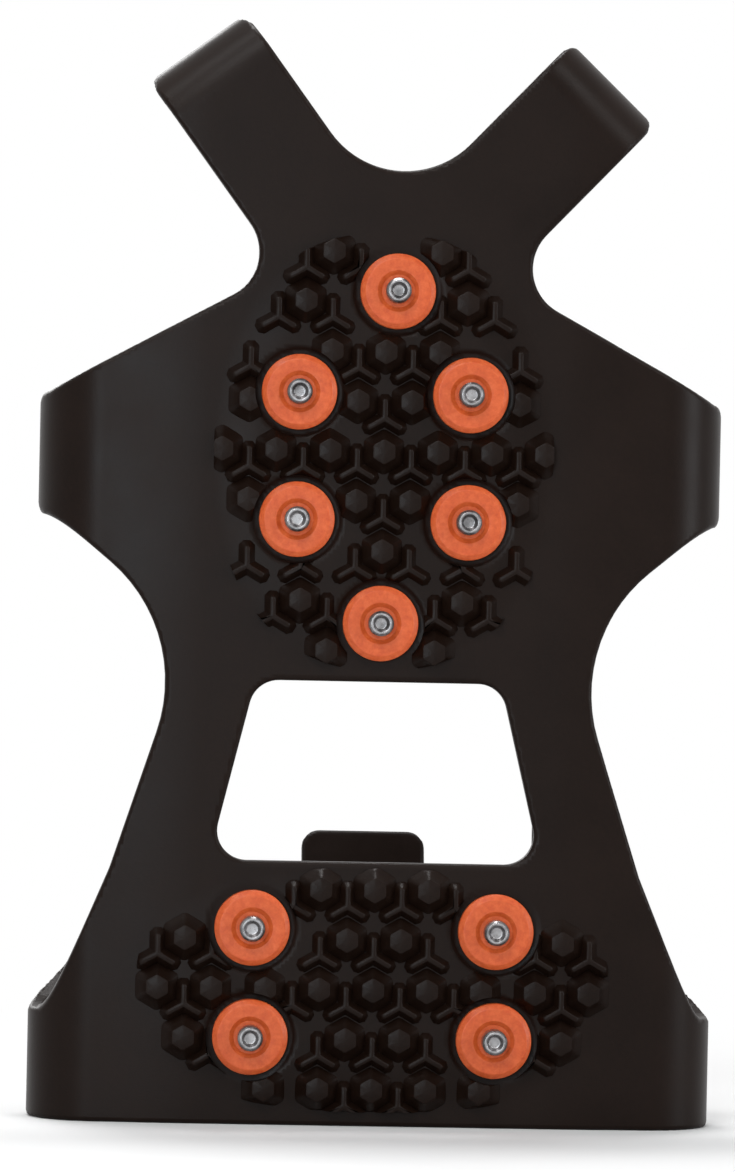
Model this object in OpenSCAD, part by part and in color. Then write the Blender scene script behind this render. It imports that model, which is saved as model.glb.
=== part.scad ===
// Slip-on ice cleat: a rubber sole web with ten steel studs, held on a shoe by six arms and an upper rim.
// It stands on its heel edge. +Z runs to the toe, the ground side faces -Y, +X is to the right.

/* [Sole web] */
// Thickness of the sole web and of the arms
sole_t = 3; // [2.5:0.25:4]
// Half width of the flat web, where wings and heel corners start to bend
flat_x = 52; // [49:0.5:56]
// Height of the heel flank at the bend line
flank_z = 40.5; // [35:0.5:44]
// Rise of the flank's corner above that height
flank_rise = 6.5; // [4:0.5:9]
// Distance of that corner from the bend line
flank_in = 2.7; // [1.5:0.1:4]
// Half width of the narrowest corner of the waist, before it is rounded
waist_x = 35; // [32:0.5:40]
// Height of the waist corner above the heel edge
waist_z = 91.3; // [87:0.5:95]
// Radius of the waist curve
waist_r = 29; // [18:1:34]
// Lower edge of a wing at the bend line
wing_lo = 105.3; // [102:0.5:109]
// Upper edge of a wing at the bend line
wing_hi = 141.1; // [138:0.5:145]
// Slope of a wing's upper edge towards the toe
wing_slope = 28.5; // [22:0.5:34]

/* [Arch window] */
// Lower edge of the arch window
win_lo = 49; // [48:0.5:56]
// Upper edge of the arch window
win_hi = 82.5; // [74:0.5:84]
// Half width of the window at its lower edge
win_lo_x = 30.9; // [24:0.5:34]
// Half width of the window at its upper edge
win_hi_x = 22.8; // [17:0.5:26]
// Corner radius of the window
win_r = 5.5; // [2:0.5:9]

/* [Toe arms] */
// Height of the point that both toe arms run out from
toe_z = 151; // [147:0.5:155]
// Width of a toe arm
toe_w = 22; // [18:0.5:25]
// Reach of a toe arm from that point to the outside of its bend
toe_reach = 61; // [55:0.5:67]
// Lean of the left toe arm from the long axis
toe_lean_left = 36.5; // [33:0.5:45]
// Lean of the right toe arm from the long axis
toe_lean_right = 43.5; // [35:0.5:47]
// Narrowing of a toe arm on each edge, before it widens into the rim
toe_taper = 4.5; // [2:0.5:6]
// Radius in the notch between toe arm and wing
notch_r = 9; // [5:0.5:12]
// Radius in the valley between the toe arms
valley_r = 17; // [10:0.5:20]

/* [Arms and rim] */
// Bend radius of the wings and heel corners, to mid thickness
side_bend = 10.5; // [8:0.5:11.5]
// Bend radius of the toe arms, to mid thickness
toe_bend = 8; // [6:0.5:10]
// Lower edge of a wing at the outside of its bend
wing_end_lo = 112.4; // [110:0.2:115]
// Upper edge of a wing at the outside of its bend
wing_end_hi = 135.5; // [132:0.5:138]
// Height of a heel corner past its bend
heel_h = 20.5; // [17:0.5:24]
// Height of the curve from a heel corner into the flank
heel_curve = 8; // [5:0.5:11]
// Depth over which a heel corner's lower edge stays flat, as a foot to stand on
heel_foot = 25; // [22:0.5:28]
// Height at which a heel arm's lower edge meets the rim
heel_arm_lo = 49; // [45:0.5:53]
// Height at which a heel arm's upper edge meets the rim
heel_arm_hi = 66; // [62:0.5:70]
// Radius of the corners at the tips of the toe arms and wings
tip_round = 1.8; // [1:0.2:3]
// Distance of the rim's middle from the middle of the sole web
rim_y = 44; // [40:0.5:52]
// Half width of the rim along the sides
rim_x = 36; // [32:0.5:40]
// Width of the rim band
rim_w = 9; // [7:0.5:11]
// Thickness of the rim band
rim_t = 4; // [3.5:0.25:5]
// Inward lean of the rim band
rim_lean = 38; // [25:1:50]
// Radius of the rim behind the toe
rim_toe_r = 21; // [18:0.5:24]
// Radius of the rim above the wings
rim_wing_r = 20; // [15:0.5:24]
// Height at which the rim starts to curve in above the wings
rim_wing_z = 128; // [124:0.5:132]
// Radius of the rim's heel corners
rim_heel_r = 20; // [14:0.5:24]
// Height of the rim's rear bar
rim_rear_z = 28; // [26:0.5:32]

/* [Pull tab] */
// Width of the heel pull tab
tab_w = 24; // [16:0.5:30]
// Length of the pull tab from the middle of the rim band
tab_len = 27; // [20:0.5:32]
// Thickness of the pull tab
tab_t = 3; // [2.5:0.25:3.5]
// Radius of the tab's free corners
tab_r = 3.5; // [1:0.5:7]
// Lean of the pull tab towards the toe
tab_lean = 62; // [52:1:70]

/* [Tread] */
// Distance between lugs in a row
lug_pitch = 10; // [9:0.1:12]
// Distance between the rows of lugs
lug_row = 9.25; // [8.5:0.05:11]
// Width of a lug across its flats, at the foot
lug_w = 6.8; // [5.4:0.2:8]
// Width of a lug across its flats, at the top
lug_top = 4.2; // [3.4:0.2:5.2]
// Height of the lugs above their pad
lug_h = 2.2; // [1.2:0.1:3]
// Width of the three-armed ribs between the lugs
rib_w = 2; // [0.8:0.1:2.4]
// Length of a rib's arms
rib_len = 3.4; // [2.4:0.1:4]
// Height of the ribs above the pad
rib_h = 1.5; // [0.8:0.1:2]
// Thickness of the pad that carries the lugs
pad_t = 0.4; // [0.3:0.1:1]
// Height of the middle of the forefoot tread
fore_z = 125.2; // [123:0.2:127]
// Half width of the forefoot tread
fore_x = 31.5; // [28:0.5:34]
// Half height of the forefoot tread
fore_h = 40.6; // [38:0.2:42]
// Height of the middle of the heel tread
heel_z = 25.4; // [24:0.2:26]
// Half width of the heel tread
heel_x = 44; // [38:0.5:48]
// Half height of the heel tread
heel_tread_h = 22.6; // [21:0.2:23]

/* [Studs] */
// Half distance between the studs of a forefoot row
stud_x = 15.9; // [13:0.1:18]
// Half distance between the studs of a heel row
heel_stud_x = 22.6; // [18:0.2:28]
// How far the foremost stud sits right of the long axis, towards the valley between the toe arms
stud_toe_x = 2; // [0:0.2:3]
// Height of the foremost stud
stud_toe_z = 155; // [153:0.2:157]
// Height of the forefoot's upper pair of studs
stud_hi_z = 136; // [134:0.2:138]
// Height of the forefoot's lower pair of studs
stud_lo_z = 112.4; // [110:0.2:116]
// Height of the stud above the arch window
stud_arch_z = 93.4; // [92.4:0.2:96]
// Height of the heel's upper pair of studs
stud_heel_hi_z = 36.6; // [34:0.2:38]
// Height of the heel's lower pair of studs
stud_heel_lo_z = 16.4; // [13:0.2:19]
// Radius of an orange disc
disc_r = 7; // [5.5:0.25:8]
// Thickness of an orange disc
disc_t = 2.6; // [1.8:0.1:3.6]
// Bevel around a disc's face
disc_bevel = 0.8; // [0.3:0.1:1.2]
// Width of the dished ring around a steel tip
dish_w = 1.5; // [0.8:0.1:2]
// Depth of that dish
dish_t = 0.5; // [0.2:0.1:0.9]
// Free ring around a disc
disc_gap = 1.2; // [0.5:0.1:1.8]
// Radius of a steel tip
tip_r = 2.35; // [2.1:0.05:2.8]
// Height of a steel tip above its disc
tip_h = 3.2; // [1.8:0.1:4.5]
// Bevel around a steel tip's end
tip_bevel = 0.4; // [0.2:0.05:0.6]
// Depth of the cup in a steel tip's end
cup_h = 1.1; // [0.3:0.1:1.8]
// Radius of a stud's shank
shank_r = 1.9; // [1.4:0.05:2]
// Radius of a stud's flat head on the foot side
head_r = 5.5; // [3.5:0.25:7]
// Thickness of that head
head_t = 1; // [0.6:0.1:1.4]

/* [Hidden] */
$fn = 48;

rubber = [0.15, 0.14, 0.13];
orange = [0.85, 0.42, 0.22];
steel = [0.72, 0.72, 0.74];
fit = 0.05;
seat_gap = 0.1;
over = 1;
half_t = sole_t / 2;
big = 400;

// Stud places, from the toe down: six under the forefoot, four under the heel.
studs = [[stud_toe_x, stud_toe_z], [-stud_x, stud_hi_z], [stud_x, stud_hi_z], [-stud_x, stud_lo_z],
    [stud_x, stud_lo_z], [0, stud_arch_z], [-heel_stud_x, stud_heel_hi_z], [heel_stud_x, stud_heel_hi_z],
    [-heel_stud_x, stud_heel_lo_z], [heel_stud_x, stud_heel_lo_z]];

// Tread zones: middle, half width, half height, roundness of the outline.
fore_zone = [fore_z, fore_x, fore_h, 2.3];
heel_zone = [heel_z, heel_x, heel_tread_h, 2.6];
ring_r = disc_r + disc_gap;
lug_inset = 0.6;
lug_fill = 0.95;
rib_reach = 0.5;
rib_fill = 0.9;

// Arms: where the bends start and where the rim is met.
toe_s0 = toe_reach - toe_bend - half_t;
arm_cut_toe = 2 * toe_bend;
arm_cut_heel = heel_foot - rim_t / 4;
arm_top = rim_y - rim_w * 2 / 3;
rim_back = rim_y + rim_t;
tip_drop = tip_round * (1 - cos(75));

// Rim circles as [x, z, radius], anticlockwise from the right heel corner.
heel_c = [rim_x - rim_heel_r, rim_rear_z + rim_heel_r, rim_heel_r];
wing_c = [rim_x - rim_wing_r, rim_wing_z, rim_wing_r];
toe_c = [0, toe_z, rim_toe_r];
front_n = normal_angle(wing_c, toe_c);
front_from = on_circle(wing_c, front_n);
front_len = norm(on_circle(toe_c, front_n) - front_from);
toe_end = 2 * rim_t;
wing_rim_lo = wing_end_lo - rim_w;
heel_rim_hi = heel_arm_hi + rim_w / 3;

function unit(v) = v / norm(v);
function polar(r, a) = r * [cos(a), sin(a)];
function flip(p) = [for (i = [len(p) - 1:-1:0]) [-p[i][0], p[i][1], p[i][2]]];
function on_circle(c, a) = [c[0], c[1]] + polar(c[2], a);

// Outward direction of the line that touches two circles on their right-hand side.
function normal_angle(c, d) =
    let (v = [d[0] - c[0], d[1] - c[1]])
    atan2(v[1], v[0]) - acos((c[2] - d[2]) / norm(v));

// Crossing of the line through p along d with the line through q along e.
function crossing(p, d, q, e) =
    let (k = d[0] * e[1] - d[1] * e[0], w = q - p)
    p + d * (w[0] * e[1] - w[1] * e[0]) / k;

// Arc that rounds the corner at b between a and c, no longer than the sides it joins.
function rounded(a, b, c, radius) =
    let (u = unit(a - b), v = unit(c - b), half = acos(u * v) / 2,
        r = min(radius, 0.96 * min(norm(a - b), norm(c - b)) * tan(half)),
        m = b + unit(u + v) * r / sin(half),
        p = b + u * r / tan(half) - m, q = b + v * r / tan(half) - m,
        from = atan2(p[1], p[0]), d = atan2(q[1], q[0]) - from,
        turn = d > 180 ? d - 360 : d < -180 ? d + 360 : d,
        n = max(2, ceil(abs(turn) / 7)))
    [for (i = [0:n]) m + polar(r, from + turn * i / n)];

// Outline through corners given as [x, z, radius].
function outline(k) =
    let (n = len(k), at = [for (c = k) [c[0], c[1]]])
    [for (i = [0:n - 1])
        each (k[i][2] > 0 ? rounded(at[(i + n - 1) % n], at[i], at[(i + 1) % n], k[i][2]) : [at[i]])];

function bezier(p, n) =
    [for (i = [0:n]) let (t = i / n, s = 1 - t)
        s * s * s * p[0] + 3 * s * s * t * p[1] + 3 * s * t * t * p[2] + t * t * t * p[3]];

// Corners of one side of the web, from the heel edge to the end of its toe arm.
function side_corners(lean) =
    let (out = [sin(lean), cos(lean)], across = [cos(lean), -sin(lean)] * toe_w / 2, from = [0, toe_z],
        notch = crossing([flat_x, wing_hi], [-cos(wing_slope), sin(wing_slope)], from + across, out),
        far = from + out * toe_s0)
    [[flat_x, 0, 0], [flat_x, flank_z, 0],
        [flat_x - flank_in, flank_z + flank_rise, 0], [waist_x, waist_z, waist_r],
        [flat_x, wing_lo, 0], [flat_x, wing_hi, 0], [notch[0], notch[1], notch_r],
        [far[0] + across[0], far[1] + across[1], 0], [far[0] - across[0], far[1] - across[1], 0]];

// Bottom of the valley between the toe arms, before it is rounded.
function valley() =
    let (a = toe_lean_right, b = toe_lean_left,
        p = crossing([-cos(a), sin(a)] * toe_w / 2, [sin(a), cos(a)],
            [cos(b), sin(b)] * toe_w / 2, [-sin(b), cos(b)]))
    [p[0], p[1] + toe_z, valley_r];

// Sole web

module sole() {
    k = concat(side_corners(toe_lean_right), [valley()], flip(side_corners(toe_lean_left)));
    window = [[-win_lo_x, win_lo, win_r], [win_lo_x, win_lo, win_r],
        [win_hi_x, win_hi, win_r], [-win_hi_x, win_hi, win_r]];
    color(rubber)
    difference() {
        rotate([90, 0, 0])
        linear_extrude(sole_t, center = true)
        difference() {
            polygon(outline(k));
            polygon(outline(window));
        }
        for (p = studs) at_stud(p) {
            translate([0, 0, -sole_t - over])
            cylinder(r = shank_r + fit, h = sole_t + 2 * over);
            translate([0, 0, -sole_t - over])
            cylinder(r = head_r + 4 * fit, h = head_t + seat_gap + over);
        }
    }
}

// Stands on the ground face of the web at a stud, with +Z pointing to the ground.
module at_stud(p) {
    translate([p[0], -half_t, p[1]])
    rotate([90, 0, 0])
    children();
}

// Tread: hexagonal lugs in offset rows with three-armed ribs between them.

function clear_of_studs(x, z, room) = min([for (p = studs) norm([x, z] - p)]) > room;
function depth(zone, x, z) = pow(abs(x) / zone[1], zone[3]) + pow(abs(z - zone[0]) / zone[2], zone[3]);
function ring_point(zone, a) =
    let (k = 2 / zone[3], c = cos(a), s = sin(a))
    [zone[1] * sign(c) * pow(abs(c), k), zone[0] + zone[2] * sign(s) * pow(abs(s), k)];

module tread(zone) {
    rows = ceil(zone[2] / lug_row);
    cols = ceil(zone[1] / lug_pitch) + 1;
    rim = [for (a = [0:5:355]) ring_point(zone, a)];
    color(rubber)
    difference() {
        translate([0, -half_t, 0])
        rotate([90, 0, 0]) {
            linear_extrude(pad_t)
            polygon(rim);
            intersection() {
                for (j = [-rows:rows], i = [-cols:cols]) {
                    x = (i + (j % 2 == 0 ? 0 : 0.5)) * lug_pitch;
                    z = zone[0] + j * lug_row;
                    y = z + lug_row * 2 / 3;
                    if (depth(zone, x, z) < lug_fill && clear_of_studs(x, z, ring_r + lug_inset))
                        translate([x, z, 0])
                        rotate(30)
                        cylinder(r1 = lug_w / sqrt(3), r2 = lug_top / sqrt(3), h = pad_t + lug_h, $fn = 6);
                    if (depth(zone, x, y) < rib_fill && clear_of_studs(x, y, ring_r - rib_reach))
                        translate([x, y, 0])
                        rib();
                }
                linear_extrude(pad_t + lug_h + over)
                polygon(rim);
            }
        }
        for (p = studs) at_stud(p)
            rotate(20)
            translate([0, 0, -over])
            cylinder(r = ring_r, h = lug_h + pad_t + 2 * over);
    }
}

// Three-armed rib, one arm towards the toe.
module rib() {
    w = rib_w / 2;
    in = w / sqrt(3) * 2;
    linear_extrude(pad_t + rib_h)
    polygon([for (a = [90, 210, 330])
        each [polar(in, a - 60), polar(rib_len, a) + polar(w, a - 90),
            polar(rib_len, a) + polar(w, a + 90)]]);
}

module forefoot_tread() tread(fore_zone);
module heel_tread() tread(heel_zone);

// Arms: a strip that leaves the web, bends up round r and runs straight to a point on the rim.
// In its own frame the strip runs out along +X, bends towards +Y and has its width along Z.

module strip(r, to, lo, hi) {
    v = to - [0, r];
    run = sqrt(v * v - r * r);
    turn = atan2(v[1], v[0]) - atan2(run, r) + 90;
    translate([0, r, 0])
    rotate([0, 0, turn - 90])
    mirror([0, 1, 0]) {
        rotate_extrude(angle = turn)
        translate([r - half_t, lo])
        square([sole_t, hi - lo]);
        translate([r - half_t, -run, lo])
        cube([sole_t, run, hi - lo]);
    }
}

// Outline of an arm as seen from the ground side, down to the distance y from the web.
module seen_from_ground(p, y = big) {
    translate([0, y, 0])
    rotate([90, 0, 0])
    linear_extrude(2 * big)
    polygon(p);
}

// Outline of an arm as seen from its side, given as [distance from the web, height].
module seen_from_side(p) {
    rotate([90, 0, 90])
    linear_extrude(2 * big, center = true)
    polygon(p);
}

// Rounded corner of an arm's tip at x, on the edge at height z. It leaves tip_drop of the edge cut away.
function tip(x, z, s) =
    [for (a = [0:15:75]) [x - tip_round * (1 - sin(a)), z - s * tip_round * (1 - cos(a))]];
function back(p) = [for (i = [len(p) - 1:-1:0]) p[i]];

// Part of a shape between two distances from the web.
module between(from, to) {
    intersection() {
        children();
        translate([-big, from, -big])
        cube([2 * big, to - from, 2 * big]);
    }
}

// One toe arm, whole, at its lean to the right.
module toe_limb(lean) {
    w = toe_w / 2;
    mid = w - tip_drop;
    top = w - toe_taper;
    edge = concat([[-big, w]], tip(toe_bend + half_t, w, 1), [[big, mid]]);
    neck = arm_top + rim_t / 4;
    flare = bezier([[neck, top], [neck + rim_t / 2, top], [rim_y, top + rim_t / 4],
        [rim_back, top + rim_t * 3 / 2]], 6);
    side = concat([[-big, w + fit], [half_t * 4 / 3, w + fit], [toe_bend, mid]], flare);
    translate([0, 0, toe_z])
    rotate([0, lean - 90, 0])
    translate([toe_s0, 0, 0])
    intersection() {
        strip(toe_bend, [rim_toe_r - toe_s0, rim_y], -w - over, w + over);
        seen_from_ground(concat(edge, back(low(edge))));
        seen_from_side(concat(side, back(low(side))));
    }
}

function low(p) = [for (q = p) [q[0], -q[1]]];

// The right wing and the right heel corner with its arm, whole.
module wing_limb() {
    lo = wing_end_lo;
    hi = wing_end_hi;
    rise = (wing_lo - waist_z) / (flat_x - waist_x);
    x = side_bend + half_t;
    tip_x = x - tip_round;
    sweep = bezier([[tip_x, lo], [tip_x * 2 / 3, lo - rise * tip_x / 6],
        [tip_x / 3, wing_lo + rise * tip_x / 3], [-over, wing_lo - rise * over]], 8);
    lower_edge = concat([[-flat_x, wing_lo - rise * flat_x]], back(sweep),
        [for (p = tip(x, lo, -1)) if (p[0] > tip_x) p], [[big, lo + tip_drop]]);
    upper_edge = concat([[-flat_x, wing_hi + (wing_hi - hi) * flat_x / tip_x]], tip(x, hi, 1),
        [[big, hi - tip_drop]]);
    neck = rim_y - rim_w / 2;
    lower = bezier([[side_bend, lo + tip_drop], [neck - rim_w, lo + rim_t / 2], [neck, lo + rim_t],
        [rim_back, lo - rim_t]], 12);
    upper = bezier([[rim_back, hi - rim_t / 4], [neck, hi - rim_t * 7 / 4],
        [neck - rim_w, hi - rim_t * 3 / 4], [side_bend, hi - tip_drop]], 12);
    translate([flat_x, 0, 0])
    intersection() {
        strip(side_bend, [rim_x - flat_x, rim_y], wing_lo - over, wing_hi + over);
        seen_from_ground(concat(lower_edge, back(upper_edge)));
        seen_from_side(concat([[-sole_t, wing_lo - x]], lower, upper, [[-sole_t, wing_hi + x]]));
    }
}

module heel_limb() {
    s = side_bend - half_t;
    k = heel_curve / 8;
    steep = (flank_z - heel_h - heel_curve) / (s - heel_curve / 2);
    flank = bezier([[s + k, heel_h], [s - k, heel_h + k], [s - heel_curve / 2, heel_h + heel_curve],
        [-over, flank_z + steep * over]], 8);
    front = concat([[-over, 0], [big, 0], [big, heel_h]], flank);
    lower = bezier([[heel_foot, 0], [heel_foot + 2 * side_bend / 3, 0],
        [arm_top - rim_t / 2, heel_arm_lo / 2], [rim_back, heel_arm_lo]], 12);
    upper = bezier([[rim_back, heel_arm_hi], [arm_top - rim_t, heel_arm_hi * 2 / 3],
        [2 * side_bend, heel_h], [side_bend, heel_h]], 14);
    translate([flat_x, 0, 0])
    intersection() {
        strip(side_bend, [rim_x - flat_x, rim_y], -over, heel_rim_hi);
        union() {
            seen_from_ground(front, side_bend);
            seen_from_side(concat([[side_bend, 0]], lower, upper));
        }
    }
}

module on_left() {
    mirror([1, 0, 0])
    children();
}

// Rim: a leaning band with round edges, swept along arcs and straight runs.

module rim_section(inset = 0) {
    flat = rim_w - rim_t;
    rotate(rim_lean) {
        square([rim_t - 2 * inset, flat], center = true);
        translate([0, flat / 2])
        circle(d = rim_t - 2 * inset);
        translate([0, -flat / 2])
        circle(d = rim_t - 2 * inset);
    }
}

module rim_arc(c, from, to) {
    translate([c[0], rim_y, c[1]])
    rotate([90, 0, 0])
    rotate([0, 0, from])
    rotate_extrude(angle = to - from)
    translate([c[2], 0])
    mirror([0, 1])
    rim_section();
}

// Straight run from p, with the band's outside facing angle n. It is a hair slimmer than the arcs,
// and can reach into the arcs at its two ends.
module rim_run(p, n, length, back = 0, ahead = 0) {
    translate([p[0], rim_y, p[1]])
    rotate([90, 0, 0])
    rotate([0, 0, n])
    rotate([-90, 0, 0])
    translate([0, 0, -back])
    linear_extrude(length + back + ahead)
    rim_section(fit);
}

module rear_bar(reach) rim_run([-heel_c[0], rim_rear_z], -90, 2 * heel_c[0], reach, reach);

// Wings, with the stretch of rim above them

module wing_right() {
    color(rubber) {
        wing_limb();
        rim_run([rim_x, wing_rim_lo], 0, wing_c[1] - wing_rim_lo, 0, over);
        rim_arc(wing_c, 0, front_n);
    }
}

module wing_left() on_left() wing_right();

// Toe strap

module toe_hook_right() color(rubber) between(-rim_y, arm_cut_toe) toe_limb(toe_lean_right);
module toe_hook_left() color(rubber) on_left() between(-rim_y, arm_cut_toe) toe_limb(toe_lean_left);
module toe_arm_right() color(rubber) between(arm_cut_toe, arm_top) toe_limb(toe_lean_right);
module toe_arm_left() color(rubber) on_left() between(arm_cut_toe, arm_top) toe_limb(toe_lean_left);

module toe_band() {
    end = on_circle(toe_c, front_n) - polar(toe_end, front_n + 90);
    color(rubber) {
        rim_arc(toe_c, front_n, 180 - front_n);
        rim_run(end, front_n, toe_end, 0, over);
        on_left() rim_run(end, front_n, toe_end, 0, over);
        between(arm_top, 2 * rim_y) toe_limb(toe_lean_right);
        on_left() between(arm_top, 2 * rim_y) toe_limb(toe_lean_left);
    }
}

module rim_front_right() color(rubber) rim_run(front_from, front_n, front_len - toe_end);
module rim_front_left() on_left() rim_front_right();

// Heel strap

module heel_corner_right() color(rubber) between(-rim_y, arm_cut_heel) heel_limb();
module heel_corner_left() on_left() heel_corner_right();
module heel_arm_right() color(rubber) between(arm_cut_heel, arm_top) heel_limb();
module heel_arm_left() on_left() heel_arm_right();

module heel_end() {
    rim_arc(heel_c, -90, 0);
    rim_run([rim_x, heel_c[1]], 0, heel_rim_hi - heel_c[1], over, 0);
    between(arm_top, 2 * rim_y) heel_limb();
}

module heel_band() {
    color(rubber) {
        rear_bar(over);
        heel_end();
        on_left() heel_end();
    }
}

module rim_rear_right() color(rubber) rim_run([rim_x, heel_rim_hi], 0, wing_rim_lo - heel_rim_hi);
module rim_rear_left() on_left() rim_rear_right();

module heel_pull_tab() {
    r = min(tab_r, tab_w / 2 - fit);
    color(rubber)
    difference() {
        translate([0, rim_y, rim_rear_z])
        rotate([tab_lean - 90, 0, 0])
        rotate([90, 0, 0])
        translate([0, 0, -tab_t / 2])
        linear_extrude(tab_t) {
            translate([-tab_w / 2, 0])
            square([tab_w, tab_len - r]);
            translate([r - tab_w / 2, 0])
            square([tab_w - 2 * r, tab_len]);
            for (s = [-1, 1])
                translate([s * (tab_w / 2 - r), tab_len - r])
                circle(r);
        }
        rear_bar(rim_w);
    }
}

// Studs: an orange disc on the ground face and a steel pin through disc and web.

module stud_disc(i) {
    color(orange)
    at_stud(studs[i])
    rotate_extrude()
    polygon([[shank_r + fit, 0], [disc_r, 0], [disc_r, disc_t - disc_bevel], [disc_r - disc_bevel, disc_t],
        [tip_r + dish_w, disc_t], [tip_r + dish_w / 2, disc_t - dish_t], [shank_r + fit, disc_t - dish_t]]);
}

module stud_pin(i) {
    seat = head_t + seat_gap - sole_t;
    foot = disc_t - dish_t;
    top = disc_t + tip_h;
    color(steel)
    at_stud(studs[i])
    rotate_extrude()
    polygon([[0, seat - head_t], [head_r - head_t / 2, seat - head_t], [head_r, seat - head_t / 2],
        [head_r, seat], [shank_r, seat], [shank_r, foot], [tip_r, foot], [tip_r, top - 2 * tip_bevel],
        [tip_r - tip_bevel, top], [tip_r - 2 * tip_bevel, top], [tip_r * 0.4, top - cup_h],
        [0, top - cup_h]]);
}

sole();
forefoot_tread();
heel_tread();
wing_left();
wing_right();
toe_hook_left();
toe_hook_right();
toe_arm_left();
toe_arm_right();
toe_band();
heel_corner_left();
heel_corner_right();
heel_arm_left();
heel_arm_right();
heel_band();
heel_pull_tab();
rim_front_left();
rim_front_right();
rim_rear_left();
rim_rear_right();
stud_disc(0);  // stud_disc_01
stud_disc(1);  // stud_disc_02
stud_disc(2);  // stud_disc_03
stud_disc(3);  // stud_disc_04
stud_disc(4);  // stud_disc_05
stud_disc(5);  // stud_disc_06
stud_disc(6);  // stud_disc_07
stud_disc(7);  // stud_disc_08
stud_disc(8);  // stud_disc_09
stud_disc(9);  // stud_disc_10
stud_pin(0);  // stud_pin_01
stud_pin(1);  // stud_pin_02
stud_pin(2);  // stud_pin_03
stud_pin(3);  // stud_pin_04
stud_pin(4);  // stud_pin_05
stud_pin(5);  // stud_pin_06
stud_pin(6);  // stud_pin_07
stud_pin(7);  // stud_pin_08
stud_pin(8);  // stud_pin_09
stud_pin(9);  // stud_pin_10
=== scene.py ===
import math

import bpy
import numpy as np
from mathutils import Matrix, Vector


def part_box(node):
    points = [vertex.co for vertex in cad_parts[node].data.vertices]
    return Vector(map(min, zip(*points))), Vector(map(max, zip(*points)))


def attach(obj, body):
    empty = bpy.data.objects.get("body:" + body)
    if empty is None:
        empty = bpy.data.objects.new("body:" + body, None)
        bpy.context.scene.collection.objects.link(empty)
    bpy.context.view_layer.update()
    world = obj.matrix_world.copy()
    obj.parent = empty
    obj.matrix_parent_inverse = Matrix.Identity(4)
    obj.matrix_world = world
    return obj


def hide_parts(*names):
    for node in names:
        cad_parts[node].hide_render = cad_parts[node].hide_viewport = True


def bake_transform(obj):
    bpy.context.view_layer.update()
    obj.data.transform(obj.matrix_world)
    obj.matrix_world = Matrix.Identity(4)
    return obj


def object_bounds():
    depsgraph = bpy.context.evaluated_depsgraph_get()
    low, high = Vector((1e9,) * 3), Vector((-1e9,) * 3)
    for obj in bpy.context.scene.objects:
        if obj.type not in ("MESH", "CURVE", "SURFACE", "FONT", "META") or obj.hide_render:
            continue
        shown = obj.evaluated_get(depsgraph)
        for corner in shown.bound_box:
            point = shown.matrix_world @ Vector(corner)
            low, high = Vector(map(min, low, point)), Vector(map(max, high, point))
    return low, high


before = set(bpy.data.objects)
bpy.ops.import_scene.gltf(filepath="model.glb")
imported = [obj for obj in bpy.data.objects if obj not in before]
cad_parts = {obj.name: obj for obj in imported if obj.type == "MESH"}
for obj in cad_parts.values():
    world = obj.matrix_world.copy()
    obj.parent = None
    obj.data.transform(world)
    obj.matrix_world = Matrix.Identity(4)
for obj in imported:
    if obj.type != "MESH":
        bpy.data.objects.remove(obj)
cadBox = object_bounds()
mm = 0.001  # shapes below are worked out in millimetres
tiny = 1e-9
print("frame loaded, %d nodes" % len(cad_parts))


def nodeBox(name):  # corners of a CAD node in millimetres
    low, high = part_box(name)
    return np.array(low) / mm, np.array(high) / mm


# the rubber moulding: web, arms, rim and tab are one skin

soleLow, soleHigh = nodeBox("sole")
web = {
    "halfThick": (soleHigh[1] - soleLow[1]) / 2,
    "flatX": soleHigh[0],
    "flankZ": 40.5,  # top of the heel corners
    "flankIn": 2.7,  # from there the edge turns in towards the waist
    "flankUp": 6.5,
    "waist": (35, 91.3, 29),  # across, height, rounding
    "wingLow": 105.3,
    "wingHigh": 141.1,
    "wingSlope": 28.5,
    "window": ((-30.9, 49, 5.5), (30.9, 49, 5.5), (22.8, 82.5, 5.5), (-22.8, 82.5, 5.5)),
    "notchRound": 9,
    "valleyRound": 17,
    "edgeRound": 0.75,
    "bow": 1.2,  # the wings and heel corners lift off the ground a little before they bend
    "bowFrom": 33,
    "bowTo": 60,
    "lap": 2,  # how far the arms reach into the web
}
toe = {
    "rootZ": 151,
    "width": 22,
    "reach": 61,
    "leanLeft": 36.5,
    "leanRight": 43.5,
    "bend": 8,
    "cornerRound": 1.8,
    "cornerTurn": 75,  # degrees of that rounding, before the arm runs back
    "taper": 4.5,
    "taperFrom": 2,  # depth
    "spare": 0.05,  # up to there the side view's edge stands clear of the front view's
    "flare": ((-5, 0), (-3, 0), (0, 1), (4, 6)),  # curve into the rim: depth from it, added half width
}
sides = {
    "bend": 10.5,
    "wingEndLow": 112.4,
    "wingEndHigh": 135.5,
    "wingLowFlare": ((-13.5, 2), (-4.5, 4), (4, -4)),  # curves into the rim: depth from it, added height
    "wingHighFlare": ((-13.5, -3), (-4.5, -7), (4, -1)),
    "wingClear": (-3, 20),  # at this depth the side view's edges stand this far off the front view's
    "wingSlant": 0.85,  # sloping edges make distances along z too long
    "heelHeight": 20.5,
    "heelFoot": 25,
    "heelLead": (-3, 6),  # its flank's start on the web: across, added height
    "heelFlank": ((-4, 8), (-1, 1), (1, 0)),  # its curve round the bend: across, added height
    "heelArm": (49, 66),  # heights at which its edges meet the rim
    "heelEase": (8, 10),  # how far before the rim their curves start to straighten
    "heelSlant": (0.7, 0.8),
}
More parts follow.
